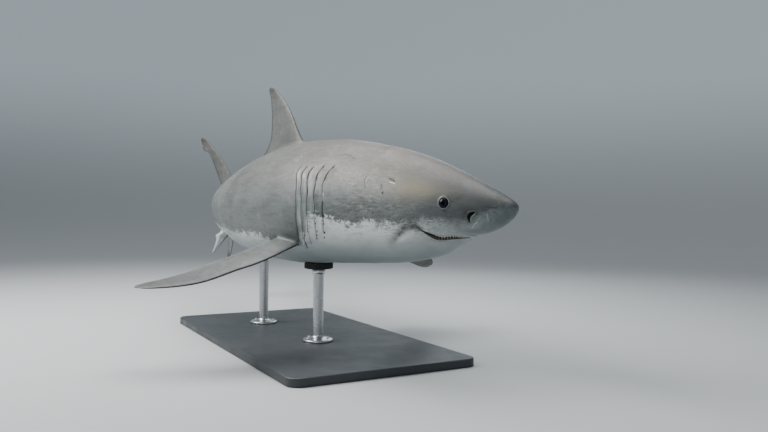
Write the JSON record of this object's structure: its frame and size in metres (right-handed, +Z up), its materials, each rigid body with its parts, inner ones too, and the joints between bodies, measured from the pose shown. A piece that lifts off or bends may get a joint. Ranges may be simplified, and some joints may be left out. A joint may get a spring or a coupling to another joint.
{
  "type": "great white shark model",
  "caption": "Life-size great white shark, swimming level with its tail swung to one side, held over a flat base on short rods.",
  "frame": {"origin": "centre of the stand base's underside, on the floor", "axes": "+X towards the shark's head, +Y its left side, +Z up"},
  "size_m": [3.8929, 1.8525, 1.45],
  "materials": {
    "back_skin": "satin",
    "pale_skin": "satin",
    "eye": "gloss",
    "teeth": "satin",
    "base_paint": "satin paint",
    "rod_steel": "brushed",
    "saddle_rubber": "matte"
  },
  "bodies": {
    "root": {"head": "back_skin", "gill_region": "back_skin", "trunk": "back_skin", "rear_trunk": "back_skin", "tail_stalk": "back_skin", "caudal_fin_upper": "back_skin", "caudal_fin_lower": "back_skin", "first_dorsal_fin": "back_skin", "second_dorsal_fin": "back_skin", "pectoral_fin_left": "back_skin", "pectoral_fin_right": "back_skin", "lower_jaw": "pale_skin", "anal_fin": "pale_skin", "pelvic_fin_left": "pale_skin", "pelvic_fin_right": "pale_skin", "eye_left": "eye", "eye_right": "eye", "stand_base": "base_paint", "stand_rod_front": "rod_steel", "stand_rod_rear": "rod_steel", "stand_saddle_front": "saddle_rubber", "stand_saddle_rear": "saddle_rubber"}
  },
  "joints": []
}
